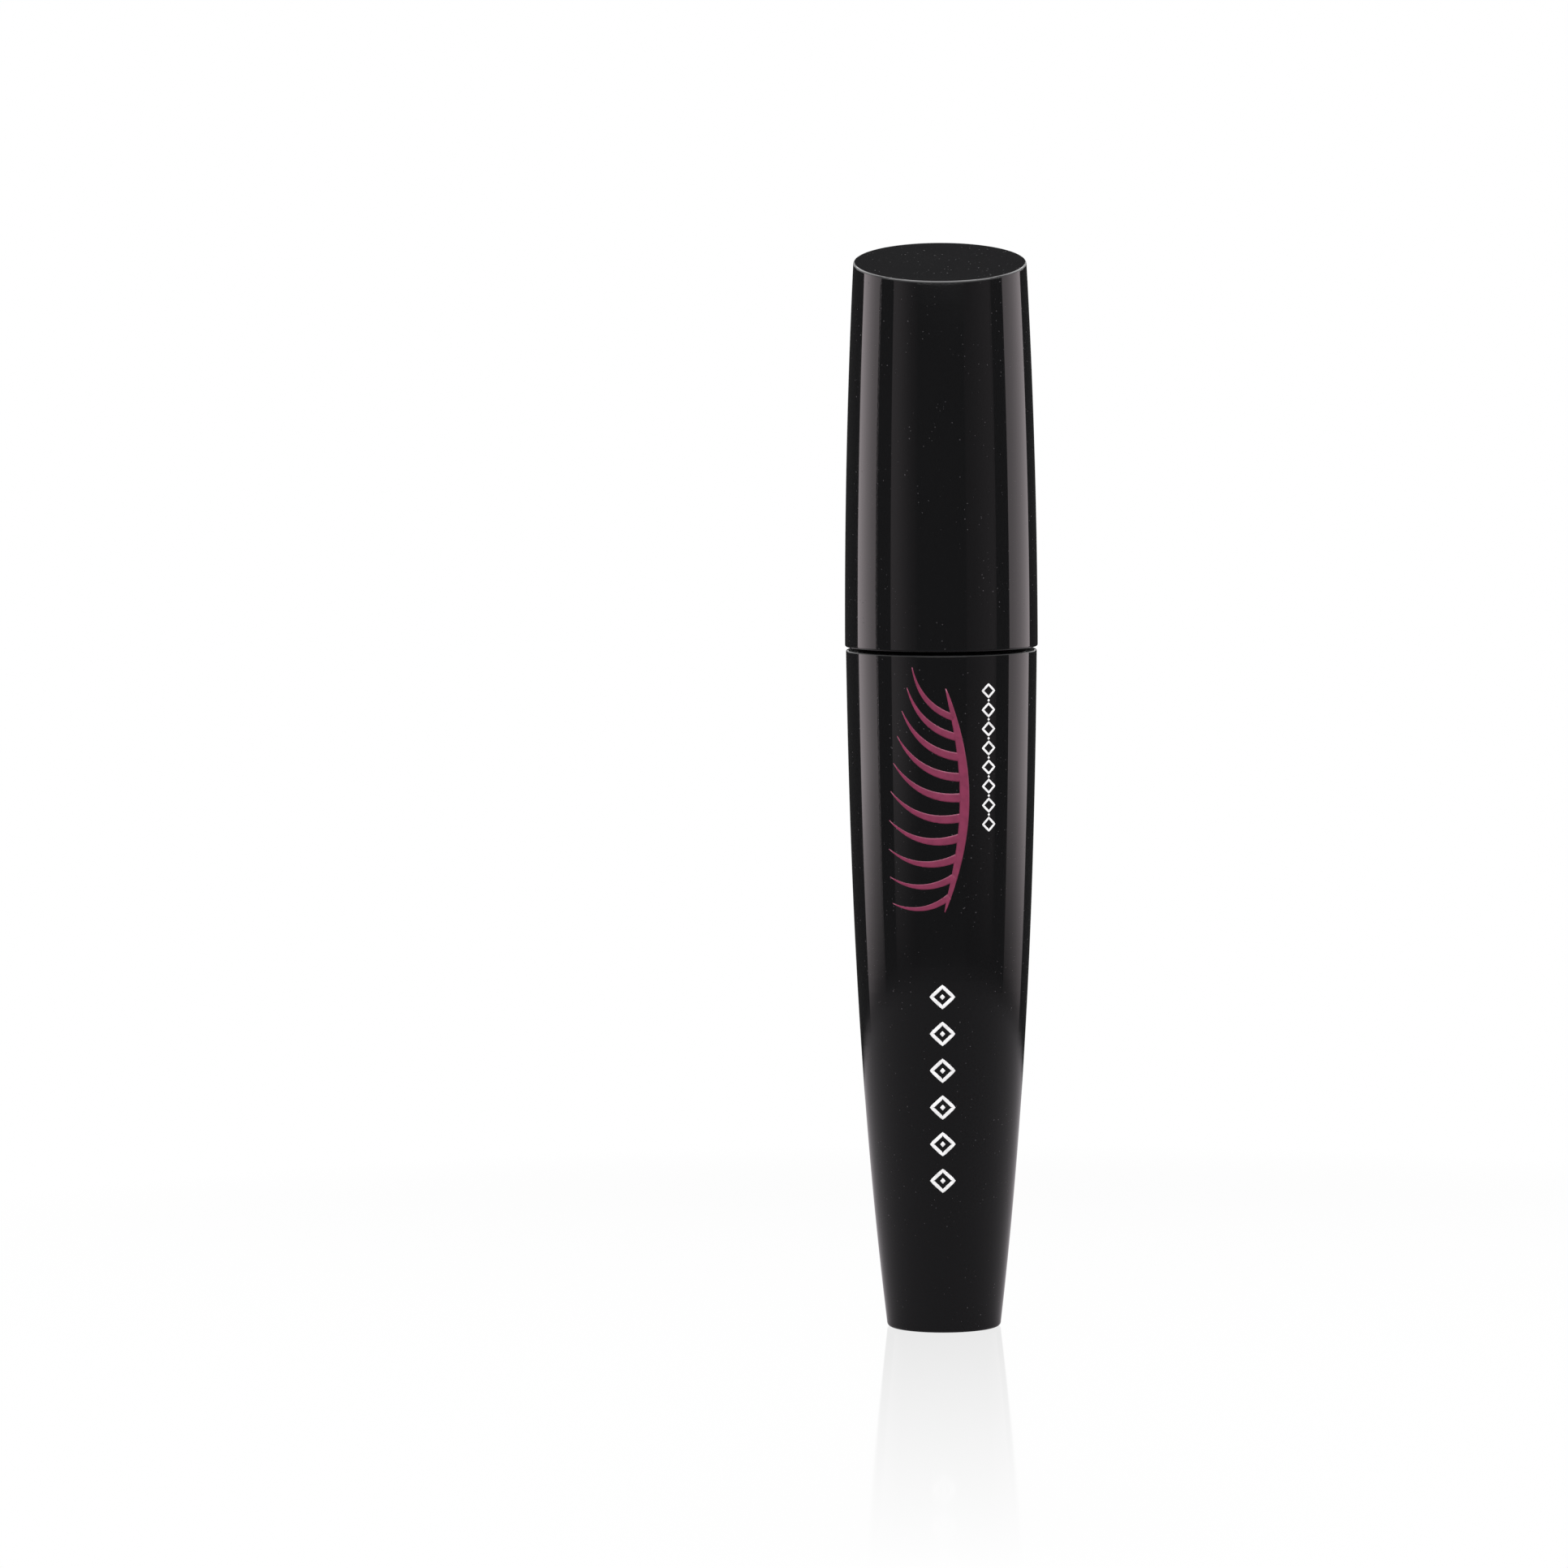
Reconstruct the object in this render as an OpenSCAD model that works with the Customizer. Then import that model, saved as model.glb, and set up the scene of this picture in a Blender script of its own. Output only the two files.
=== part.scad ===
// A mascara tube: a tapered bottle with a threaded neck, and a screw-on cap that carries the brush.
// The origin is the middle of the flat base, +Z runs up the tube and -Y is the printed front.
// All sizes are in millimetres. The cap is modelled screwed down.

/* [Bottle] */
// Height of the bottle's shoulder above the table
shoulder_z = 74.6; // [73:0.1:76]
// Outer radius of the sleeve at the shoulder
sleeve_r = 10.45; // [10.4:0.01:10.6]
// Outer radius that the taper comes down to at the table
base_r = 6.21; // [6:0.01:6.6]
// Rounding of the edge that the tube stands on
foot_round = 0.45; // [0.3:0.05:0.6]
// Wall of the outer sleeve
sleeve_wall = 1.1; // [0.9:0.05:1.2]
// Wall of the inner bottle
bottle_wall = 0.95; // [0.8:0.05:1.05]
// Outer radius of the threaded neck
neck_r = 6.3; // [6.25:0.01:6.35]
// Radius of the neck's bore, which holds the wiper
neck_bore_r = 5.1; // [5.08:0.01:5.2]
// Height of the neck above the shoulder
neck_h = 13.4; // [13.2:0.1:14]
// Radius of the bottle's flange, which sits in the top of the sleeve
flange_r = 9.8; // [9.75:0.01:9.85]

/* [Thread] */
// Rise of the cap in one full turn
thread_lead = 3; // [2.9:0.05:3.1]
// Radius of the neck thread's crest
thread_crest_r = 7; // [6.9:0.01:7]
// Turns of thread on the neck
neck_turns = 1.75; // [1.25:0.25:1.75]
// Turns of thread inside the cap
cap_turns = 1.5; // [1:0.25:1.5]

/* [Wiper and seal] */
// Radius of the hole that wipes the rod
wiper_r = 2.78; // [2.76:0.01:2.85]
// Thickness of the wiper's rim, which rests on the neck
wiper_rim = 0.8; // [0.6:0.05:0.8]
// Thickness of the sealing washer
seal_t = 1.18; // [1:0.01:1.18]
// Outer radius of the sealing washer, which passes the thread inside the cap
seal_r = 6.2; // [6:0.01:6.25]

/* [Cap] */
// Gap between the cap's edge and the shoulder
seam_gap = 0.35; // [0.2:0.05:0.5]
// Outer radius of the cap at its open edge
cap_r = 10.55; // [10.5:0.01:10.7]
// Radius of the slight outward curve of the cap's side, seen in section
cap_side_r = 800; // [700:10:1200]
// Height of the slanted top where it crosses the tube's axis
cap_top_z = 117; // [114:0.1:120]
// Slant of the top, down towards the front
cap_slant = 11.3; // [0:0.1:12]
// Width of the small bevel round the slanted top
cap_bevel = 0.3; // [0.2:0.05:0.4]
// Thickness of the slanted top
cap_top_t = 1.5; // [1.2:0.1:2]
// Radius of the bore that the threaded inner cap is pushed into
cap_bore_r = 9.15; // [9.12:0.01:9.2]

/* [Applicator] */
// Height of the rod's lower tip
rod_tip_z = 33.5; // [33:0.1:34]
// Radius of the rod where it passes the wiper
rod_r = 2.73; // [2.65:0.01:2.73]
// Radius of the rod's tip
rod_tip_r = 2.35; // [2.2:0.01:2.5]
// Radius of the bead that holds the rod in the cap
bead_r = 3.1; // [3:0.01:3.15]
// Height of the brush's lowest end
brush_end_z = 7.2; // [6.8:0.1:8]
// Largest radius of the bristles
brush_r = 4.43; // [4.2:0.01:4.6]
// Rise of the twisted wire in one full turn
wire_lead = 2.86; // [2.8:0.01:2.9]
// Thickness of each of the wire's two strands
strand_d = 0.68; // [0.6:0.01:0.7]

/* [Hidden] */
round_fn = 128;                            // segments of each full circle
neck_top_z = shoulder_z + neck_h;
cap_edge_z = shoulder_z + seam_gap;
ledge_z = shoulder_z - 1.2;                // the bottle's flange sits on the sleeve here
floor_z = 1.3;                             // top of the sleeve's floor
fit = 0.05;                                // clearance of pieces that are pushed together
run = 0.1;                                 // clearance of pieces that turn or slide
wiper_top_z = neck_top_z + wiper_rim;
seal_z = wiper_top_z + 0.02;
web_z = seal_z + seal_t + 0.02;            // underside of the inner cap's web
web_top_z = web_z + 1.98;
bead_z = web_top_z + 2.05;
neck_thread_z = shoulder_z + 4.5;          // middle of the neck thread at its start
half_strand = strand_d / 2;
strand_off = half_strand + 0.02;           // distance of each strand from the axis
wire_r = strand_off + half_strand;
brush_len = rod_tip_z - brush_end_z;
peak = 13.6;                               // distance between the brush's two widest places

// Sleeve radius at height z: nearly straight at the shoulder, closing faster towards the table
function taper(z) = let (t = (shoulder_z - z) / shoulder_z)
    sleeve_r - (sleeve_r - base_r) * (0.21 * t + 0.475 * t * t + 0.315 * t * t * t);

// Cap radius at height z: upright at its open edge, leaning in along one long arc
function cap_side(z) = cap_r - (z - cap_edge_z) * (z - cap_edge_z) / (2 * cap_side_r);

// Points of a quarter circle about c, from angle a0, in the section's (radius, height) plane
function corner(c, r, a0, n = 5) =
    [for (i = [0:n]) [c[0] + r * cos(a0 + 90 * i / n), c[1] + r * sin(a0 + 90 * i / n)]];

// Bristle length from the axis at distance d below the rod: two swells with a waist, then a nose
function bristle_r(d) =
    d < 3 ? brush_r - 1.35 * pow(1 - d / 3, 2)
    : d < 3 + peak ? brush_r - 0.31 * (1 - cos(360 * (d - 3) / peak))
    : brush_r - 2.5 * pow((d - 3 - peak) / (brush_len - 3 - peak), 1.25);

// A right-hand helical ridge with sloping sides that fades out at both ends
module ridge(root_r, crest_r, z0, turns, root_w = 1.2, crest_w = 0.6) {
    n = round(turns * 40);
    s = sign(crest_r - root_r);
    fade = 5;
    function height(i) = min(1, 0.15 + 0.85 * min(i, n - i) / fade);
    points = [for (i = [0:n]) let (a = 360 * turns * i / n, z = z0 + thread_lead * turns * i / n,
                                   c = root_r + (crest_r - root_r) * height(i))
              for (p = [[root_r, -root_w], [c, -crest_w], [c, crest_w], [root_r, root_w]])
              [p[0] * cos(a), p[0] * sin(a), z + s * p[1] / 2]];
    sides = [for (i = [0:n - 1], k = [0:3]) let (a = 4 * i + k, b = 4 * i + (k + 1) % 4)
             for (f = [[a, b, b + 4], [a, b + 4, a + 4]]) f];
    polyhedron(points, concat([[3, 2, 1, 0]], sides, [[for (k = [0:3]) 4 * n + k]]));
}

// The half-space under the slanted top, moved down by d
module under_slant(d = 0) {
    translate([0, 0, cap_top_z]) rotate([cap_slant, 0, 0]) translate([-20, -20, -70 - d])
        cube([40, 40, 70]);
}

// Glossy outer skin of the bottle, closed at the foot, with a step for the bottle's flange at the top
module outer_sleeve() {
    outer = [for (k = [1:18]) let (z = foot_round + (shoulder_z - 0.2 - foot_round) * k / 18)
             [taper(z), z]];
    inner = [for (k = [0:16]) let (z = ledge_z + (floor_z - ledge_z) * k / 16)
             [taper(z) - sleeve_wall, z]];
    color("#0d0d0f") rotate_extrude($fn = round_fn)
        polygon(concat([[0, 0]], corner([taper(foot_round) - foot_round, foot_round], foot_round, -90),
                       outer, [[sleeve_r - 0.2, shoulder_z], [flange_r + fit, shoulder_z],
                               [flange_r + fit, ledge_z]],
                       inner, [[0, floor_z]]));
}

// Liner that holds the formula, with the shoulder flange and the threaded neck
module inner_bottle() {
    gap = sleeve_wall + 0.12;
    wall = gap + bottle_wall;
    foot = floor_z + 0.3;
    outer = [for (k = [0:14]) let (z = foot + 0.5 + (ledge_z - foot - 0.5) * k / 14)
             [taper(z) - gap, z]];
    inner = [for (k = [0:14]) let (z = ledge_z - 3 + (foot + 1.7 - ledge_z + 3) * k / 14)
             [taper(z) - wall, z]];
    color("#17171a") {
        rotate_extrude($fn = round_fn)
            polygon(concat([[0, foot], [taper(foot) - gap - 0.5, foot]], outer,
                           [[flange_r, ledge_z], [flange_r, shoulder_z], [neck_r, shoulder_z],
                            [neck_r, neck_top_z - 0.2], [neck_r - 0.2, neck_top_z],
                            [neck_bore_r, neck_top_z], [neck_bore_r, ledge_z]],
                           inner, [[taper(foot) - wall - 0.7, foot + 1.1], [0, foot + 1]]));
        ridge(neck_r - 0.05, thread_crest_r, neck_thread_z, neck_turns);
    }
}

// Soft insert in the neck: a rim, a sleeve and a cone that strips the rod
module wiper() {
    color("#d9d9d4") rotate_extrude($fn = round_fn)
        polygon([[neck_bore_r - fit, neck_top_z], [neck_r - 0.2, neck_top_z],
                 [neck_r - 0.2, wiper_top_z - 0.15], [neck_r - 0.35, wiper_top_z],
                 [4.45, wiper_top_z], [4.45, neck_top_z - 7], [wiper_r, neck_top_z - 10.4],
                 [wiper_r, neck_top_z - 11], [wiper_r + 0.5, neck_top_z - 11],
                 [neck_bore_r - fit, neck_top_z - 7.4]]);
}

// Flat washer round the rod that closes the neck
module seal_ring() {
    color("#b9b7b0") translate([0, 0, seal_z]) difference() {
        cylinder(h = seal_t, r = seal_r, $fn = round_fn);
        translate([0, 0, -1]) cylinder(h = seal_t + 2, r = rod_r + 0.15, $fn = round_fn);
    }
}

// Threaded core of the cap: a skirt, a web over the neck and a boss that grips the rod's bead
module inner_cap() {
    skirt_z = shoulder_z + 1;
    bore = thread_crest_r + run;
    hole = rod_r + run;
    color("#17171a") {
        rotate_extrude($fn = round_fn)
            polygon([[bore + 0.4, skirt_z], [cap_bore_r - fit - 0.2, skirt_z],
                     [cap_bore_r - fit, skirt_z + 0.2], [cap_bore_r - fit, web_top_z],
                     [4.8, web_top_z], [4.8, web_top_z + 5.8], [4.6, web_top_z + 6],
                     [hole + 0.3, web_top_z + 6], [hole, web_top_z + 5.7],
                     [hole, bead_z + 1.3], [bead_r + run, bead_z + 1.3],
                     [bead_r + run, bead_z - 0.05], [hole, bead_z - 0.05],
                     [hole, web_z], [bore, web_z], [bore, skirt_z + 0.4]]);
        ridge(bore + 0.05, neck_r + run, neck_thread_z + thread_lead / 2, cap_turns);
    }
}

// Glossy outer shell of the cap, with its slanted, lightly bevelled top
module cap_shell() {
    // The side leans in, so the slanted rim is a hair nearer the front
    rim_r = cap_side(cap_top_z);
    outer = [for (k = [0:12]) let (z = cap_edge_z + 0.2 + (121 - cap_edge_z) * k / 12)
             [cap_side(z), z]];
    hollow = [for (k = [0:8]) let (z = web_top_z + 1.2 + 28 * k / 8) [cap_side(z) - 1.35, z]];
    color("#0d0d0f") difference() {
        intersection() {
            rotate_extrude($fn = round_fn)
                polygon(concat([[0, cap_edge_z], [cap_r - 0.2, cap_edge_z]], outer,
                               [[0, cap_edge_z + 0.2 + 121 - cap_edge_z]]));
            under_slant();
        }
        // Bevel: what lies outside a cone that stands square on the slanted top
        translate([0, 0, cap_top_z]) rotate([cap_slant, 0, 0]) difference() {
            translate([-15, -15, -4]) cube([30, 30, 6]);
            translate([0, -0.1, -5]) scale([1, 1 / cos(cap_slant), 1])
                cylinder(h = 8, r1 = rim_r - cap_bevel + 5, r2 = rim_r - cap_bevel - 3,
                         $fn = round_fn);
        }
        // Bore for the inner cap, a narrow stop above it and the empty top
        translate([0, 0, cap_edge_z - 1]) cylinder(h = web_top_z - cap_edge_z + 1, r = cap_bore_r,
                                                   $fn = round_fn);
        intersection() {
            rotate_extrude($fn = round_fn)
                polygon(concat([[0, web_top_z - 1], [8.5, web_top_z - 1], [8.5, web_top_z + 1.2]],
                               hollow, [[0, web_top_z + 29.2]]));
            under_slant(cap_top_t);
        }
    }
}

// Hollow rod with a rounded tip, a socket for the wire and a bead that snaps into the inner cap
module rod() {
    top = web_top_z + 5.5;
    color("#101012") rotate_extrude($fn = round_fn)
        polygon(concat([[wire_r + 0.03, rod_tip_z]],
                       corner([rod_tip_r - 0.4, rod_tip_z + 0.4], 0.4, -90),
                       [[rod_tip_r + 0.15, rod_tip_z + 1.6], [rod_r - 0.11, rod_tip_z + 3.4],
                        [rod_r - 0.06, rod_tip_z + 7], [rod_r, rod_tip_z + 41],
                        [rod_r, bead_z], [bead_r, bead_z + 0.2], [bead_r, bead_z + 1],
                        [rod_r, bead_z + 1.25], [rod_r, top - 0.3], [rod_r - 0.3, top],
                        [1.5, top], [1.5, rod_tip_z + 13], [0, rod_tip_z + 12],
                        [0, rod_tip_z + 6.5], [wire_r + 0.03, rod_tip_z + 6]]));
}

// One steel wire, folded at the brush's nose and twisted left-handed on itself
module brush_wire() {
    sides = 13;
    z0 = brush_end_z + half_strand + strand_off;
    rise = rod_tip_z + 5.8 - z0;
    n = round(12 * rise / wire_lead);
    w = strand_off * 2 * PI / wire_lead;   // how fast a strand leans round as it rises
    // A strand's place, its outward direction and its run, at step i; dir is -1 going down
    function strand(i, side, dir) = let (a = side - 360 * rise * i / n / wire_lead)
        [[strand_off * cos(a), strand_off * sin(a), z0 + rise * i / n], [cos(a), sin(a), 0],
         dir * [w * sin(a), -w * cos(a), 1] / sqrt(1 + w * w)];
    function fold(a) = [[strand_off * cos(a), 0, z0 - strand_off * sin(a)],
                        [cos(a), 0, -sin(a)], [-sin(a), 0, -cos(a)]];
    path = concat([for (i = [n:-1:1]) strand(i, 0, -1)], [for (a = [0:30:180]) fold(a)],
                  [for (i = [1:n]) strand(i, 180, 1)]);
    last = len(path) - 1;
    points = [for (p = path, k = [0:sides - 1]) let (q = 360 * k / sides)
              p[0] + half_strand * (cos(q) * p[1] + sin(q) * cross(p[2], p[1]))];
    skin = [for (i = [0:last - 1], k = [0:sides - 1]) let (a = sides * i + k,
                                                          b = sides * i + (k + 1) % sides)
            for (f = [[a, a + sides, b + sides], [a, b + sides, b]]) f];
    color("#8f8f92") polyhedron(points, concat([[for (k = [0:sides - 1]) k]], skin,
        [[for (k = [0:sides - 1]) sides * last + sides - 1 - k]]));
}

// Nylon bristles: one whorl to each half turn of the wire, on the clamped roots
module bristles() {
    whorls = 18;
    step = wire_lead / 2;
    thin = 0.42;
    d0 = 0.35;
    fins = [for (k = [0:whorls - 1]) let (d = d0 + step * k, z = rod_tip_z - d)
            for (p = [[1, z], [bristle_r(d), z], [bristle_r(d + thin), z - thin], [1, z - thin]]) p];
    end_z = rod_tip_z - d0 - step * (whorls - 1) - thin;
    color("#141312") rotate_extrude($fn = 64)
        polygon(concat([[wire_r + 0.02, rod_tip_z - d0]], fins, [[wire_r + 0.02, end_z]]));
}

outer_sleeve();
inner_bottle();
wiper();
seal_ring();
inner_cap();
cap_shell();
rod();
brush_wire();
bristles();
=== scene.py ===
# %% [markdown]
# # A mascara tube, finished in Blender
# The CAD frame already holds nine working pieces: a sleeve, a bottle, a wiper, a seal, a threaded core,
# a cap, a rod, a wire and bristles. This notebook gives each visible one its real surface. The black
# shells are made again with true rounded edges, the decoration is laid on as thin ink, the neck gets a
# moulded thread, and the brush gets real filaments.

# %% Load the frame
import math
import random

import bmesh
import bpy
from mathutils import Matrix, Vector


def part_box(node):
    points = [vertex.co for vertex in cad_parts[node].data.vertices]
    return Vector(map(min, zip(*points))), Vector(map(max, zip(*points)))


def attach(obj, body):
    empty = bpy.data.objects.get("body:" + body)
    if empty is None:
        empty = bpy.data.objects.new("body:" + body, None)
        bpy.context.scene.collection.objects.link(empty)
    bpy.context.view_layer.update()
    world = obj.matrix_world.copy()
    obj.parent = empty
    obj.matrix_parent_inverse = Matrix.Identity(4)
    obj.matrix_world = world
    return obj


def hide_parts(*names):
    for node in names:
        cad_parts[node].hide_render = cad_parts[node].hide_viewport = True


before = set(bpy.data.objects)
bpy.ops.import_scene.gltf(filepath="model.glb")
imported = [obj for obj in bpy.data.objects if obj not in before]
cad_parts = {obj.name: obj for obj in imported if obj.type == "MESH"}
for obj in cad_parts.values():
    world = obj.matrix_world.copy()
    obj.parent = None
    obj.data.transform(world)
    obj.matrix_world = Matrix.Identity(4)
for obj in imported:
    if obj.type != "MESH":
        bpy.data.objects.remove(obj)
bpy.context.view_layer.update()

scene = bpy.context.scene

# %% [markdown]
# ## Sizes
# Every length is in metres, and `MM` turns a millimetre into one. Most heights and radii come from the
# CAD pieces' own boxes, so a change in the CAD moves them too. The others repeat the design's own
# figures: the radius of the foot, the long arc of the cap's side, and the height and slant of its top.

# %% Sizes taken from the CAD pieces
MM = 0.001


def low_z(node):
    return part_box(node)[0].z


def high_z(node):
    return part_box(node)[1].z


def widest(node):
    low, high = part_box(node)
    return (high.x - low.x) / 2


SHOULDER_Z = high_z("outer_sleeve")
SLEEVE_R = widest("outer_sleeve")
BASE_R = 6.21 * MM
CAP_EDGE_Z = low_z("cap_shell")
CAP_R = widest("cap_shell")
CAP_SIDE_R = 800 * MM
CAP_TOP_Z = 116.95 * MM
CAP_SLANT = math.radians(11.3)
ROD_TIP_Z = low_z("rod")
BRUSH_END_Z = low_z("brush_wire")
BRUSH_R = widest("bristles")
print(f"in mm: shoulder at {SHOULDER_Z / MM:.2f}, cap edge at {CAP_EDGE_Z / MM:.2f}, "
      f"rod tip at {ROD_TIP_Z / MM:.1f}")

# %% [markdown]
# ## The camera
# A long lens a metre away, a little above the cap, keeps the tube's sides nearly parallel. The tube
# stands to the right of the middle, so the camera looks past it on the left, and it is rolled by a
# third of a degree.

# %% Camera
CAMERA_DISTANCE = 1.0
CAMERA_HEIGHT = 142 * MM
CAMERA_ROLL = math.radians(-0.31)
VIEW_WIDTH = 171.8 * MM
AIM = Vector((-17.3 * MM, 0, 59.88 * MM))
camera_data = bpy.data.cameras.new("portrait_camera")
camera = bpy.data.objects.new("portrait_camera", camera_data)
scene.collection.objects.link(camera)
camera.location = (AIM.x, -CAMERA_DISTANCE, CAMERA_HEIGHT)
sight = AIM - camera.location
roll = Matrix.Rotation(CAMERA_ROLL, 4, "Z")
camera.rotation_euler = (sight.to_track_quat("-Z", "Y").to_matrix().to_4x4() @ roll).to_euler()
camera_data.lens = camera_data.sensor_width * sight.length / VIEW_WIDTH
camera_data.clip_start = 0.01
camera_data.clip_end = 50
scene.camera = camera
scene.view_settings.view_transform = "Standard"
print(f"lens {camera_data.lens:.0f} mm, {math.degrees(math.atan2(-sight.z, sight.y)):.1f} degrees down")

# %% [markdown]
# ## Helpers for materials
# `to_linear` turns a hex colour as seen on a screen into the linear numbers that a shader wants. `add`
# puts one node in a material's tree: a setting is given by its property name, and a socket by its
# label, as a number or as another node's output to link from.

# %% Colour and node helpers


def to_linear(hex_colour):
    # The standard sRGB curve: a straight line near black and a power above it
    parts = [int(hex_colour[i : i + 2], 16) / 255 for i in (1, 3, 5)]
    return (*[p / 12.92 if p <= 0.04045 else ((p + 0.055) / 1.055) ** 2.4 for p in parts], 1)


def add(tree, kind, sockets=None, **settings):
    node = tree.nodes.new("ShaderNode" + kind)
    for name, value in settings.items():
        setattr(node, name, value)
    for name, value in (sockets or {}).items():
        if isinstance(value, bpy.types.NodeSocket):
            tree.links.new(value, node.inputs[name])
        else:
            node.inputs[name].default_value = value
    return node


def material(name):
    made = bpy.data.materials.new(name)
    made.use_nodes = True
    made.node_tree.nodes.clear()
    return made, made.node_tree


def coordinates(tree):
    return add(tree, "TexCoord").outputs["Object"]


def ramp(tree, value, low, high, from_value=0.0, to_value=1.0):
    # An S-shaped change from one value to the other as the input goes from low to high
    return add(tree, "MapRange", {"Value": value, "From Min": low, "From Max": high,
                                  "To Min": from_value, "To Max": to_value},
               interpolation_type="SMOOTHSTEP").outputs["Result"]


def surface(tree, shader):
    add(tree, "OutputMaterial", {"Surface": shader.outputs[0]})


# %% [markdown]
# ## Floor and backdrop
# The tube stands on a sheet of white acrylic lit from beneath, as on a product table: it is evenly
# white and its polished middle gives a faint reflection. A big white dome closes the view on every
# side. Neither shows in the black plastic: what a gloss surface mirrors is a second dome, white
# overhead and black round the sides, as when black cloth is hung to keep the white out of a glossy
# product. A round black flag high behind the tube keeps the cap's slanted top dark.

# %% Floor and domes
FLOOR_R = 3.0
FLOOR_DROP = 0.02 * MM
DOME_R = 3.2
SKY_R = 3.1
POLISH = 0.404
POLISH_NEAR = 8 * MM
POLISH_FAR = 165 * MM
ACRYLIC_IOR = 1.49
HORIZON = (0.112, 0.126)
BELOW_HORIZON = 0.03
FLAG_HEADING = (0.017, 0.94, 0.342)
FLAG_EDGE = (0.9832, 0.9877)
FLAG_BLACK = 0.025


def lit_acrylic():
    # Opal acrylic sheet over a light table: even white, polished in the middle and satin farther out.
    # Like any polished sheet it mirrors more the lower the eye is, which is what the Fresnel node works out
    made, tree = material("opal_acrylic_sheet")
    out = add(tree, "VectorMath", {0: coordinates(tree)}, operation="LENGTH").outputs["Value"]
    polish = add(tree, "MapRange", {"Value": out, "From Min": POLISH_NEAR, "From Max": POLISH_FAR,
                                    "To Min": POLISH, "To Max": 0.0}).outputs["Result"]
    slant = add(tree, "Fresnel", {"IOR": ACRYLIC_IOR}).outputs["Fac"]
    mirrored = add(tree, "Math", {0: polish, 1: slant}, operation="MULTIPLY").outputs[0]
    glow = add(tree, "Emission", {"Color": (1, 1, 1, 1), "Strength": 1.0})
    skin = add(tree, "BsdfGlossy", {"Color": (1, 1, 1, 1), "Roughness": 0.06})
    surface(tree, add(tree, "MixShader", {"Fac": mirrored, 1: glow.outputs[0], 2: skin.outputs[0]}))
    return made


def white_paper():
    # Matt background paper, lit evenly from all round until it is plain white
    made, tree = material("white_paper_dome")
    surface(tree, add(tree, "Emission", {"Color": (1, 1, 1, 1), "Strength": 1.0}))
    return made


def reflected_sky():
    # What gloss mirrors: white above the horizon, nearly black below it, and one round black flag behind
    made, tree = material("flagged_sky")
    heading = add(tree, "VectorMath", {0: coordinates(tree)}, operation="NORMALIZE").outputs[0]
    rise = add(tree, "SeparateXYZ", {"Vector": heading}).outputs["Z"]
    white = ramp(tree, rise, *HORIZON, BELOW_HORIZON, 1.0)
    flag = add(tree, "VectorMath", {0: heading, 1: FLAG_HEADING}, operation="DOT_PRODUCT").outputs["Value"]
    open_sky = ramp(tree, flag, *FLAG_EDGE, 1.0, FLAG_BLACK)
    level = add(tree, "Math", {0: white, 1: open_sky}, operation="MULTIPLY").outputs[0]
    surface(tree, add(tree, "Emission", {"Color": (1, 1, 1, 1), "Strength": level}))
    return made


def flat_disc(radius, drop, segments):
    bm = bmesh.new()
    bmesh.ops.create_circle(bm, cap_ends=True, segments=segments, radius=radius,
                            matrix=Matrix.Translation((0, 0, -drop)))
    return bm


def inside_out_sphere(radius):
    bm = bmesh.new()
    bmesh.ops.create_icosphere(bm, subdivisions=5, radius=radius)
    bmesh.ops.reverse_faces(bm, faces=bm.faces)
    return bm


def stage_object(name, bm, finish, **seen_by):
    mesh = bpy.data.meshes.new(name)
    bm.to_mesh(mesh)
    bm.free()
    obj = bpy.data.objects.new(name, mesh)
    scene.collection.objects.link(obj)
    mesh.materials.append(finish)
    for ray, seen in seen_by.items():
        setattr(obj, "visible_" + ray, seen)
    return obj


floor = stage_object("floor", flat_disc(FLOOR_R, FLOOR_DROP, 96), lit_acrylic(), glossy=False,
                     transmission=False)
dome = stage_object("white_dome", inside_out_sphere(DOME_R), white_paper(), glossy=False,
                    transmission=False, shadow=False)
sky = stage_object("reflected_sky", inside_out_sphere(SKY_R), reflected_sky(), camera=False, diffuse=False,
                   transmission=False, shadow=False)
world = bpy.data.worlds.new("dark_studio")
scene.world = world
world.use_nodes = True
world.node_tree.nodes["Background"].inputs["Strength"].default_value = 0
print("stage:", floor.name, dome.name, sky.name)

# %% [markdown]
# ## Light panels
# Glossy black shows almost nothing but its surroundings, so the light is drawn by what stands round the
# tube. A tall strip on each side gives the two bright bands, a dim card towards each front corner gives
# the two grey ones, and the strips fade out towards the table. Two strips high behind the tube are seen
# only by the cap's rounded top edge, where they help to draw one thin bright line.

# %% Softboxes
STRIP_DISTANCE = 0.28
STRIPS = [
    ("strip_left", -84, -119, 1.25, 2.5),
    ("strip_right", 87, 129, 1.1, 1.75),
    ("card_left", -30.8, -63, 0.08, 0.42),
    ("card_right", 29.8, 66.6, 0.08, 0.2),
]
HIGH_STRIPS = [
    ("high_left", -112, -166, 2.0, 3.0, "#ffffff", 0.25, 0.5, 0.27),
    ("high_right", 112, 166, 2.0, 3.0, "#ffffff", 0.25, 0.5, 0.27),
]


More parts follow.
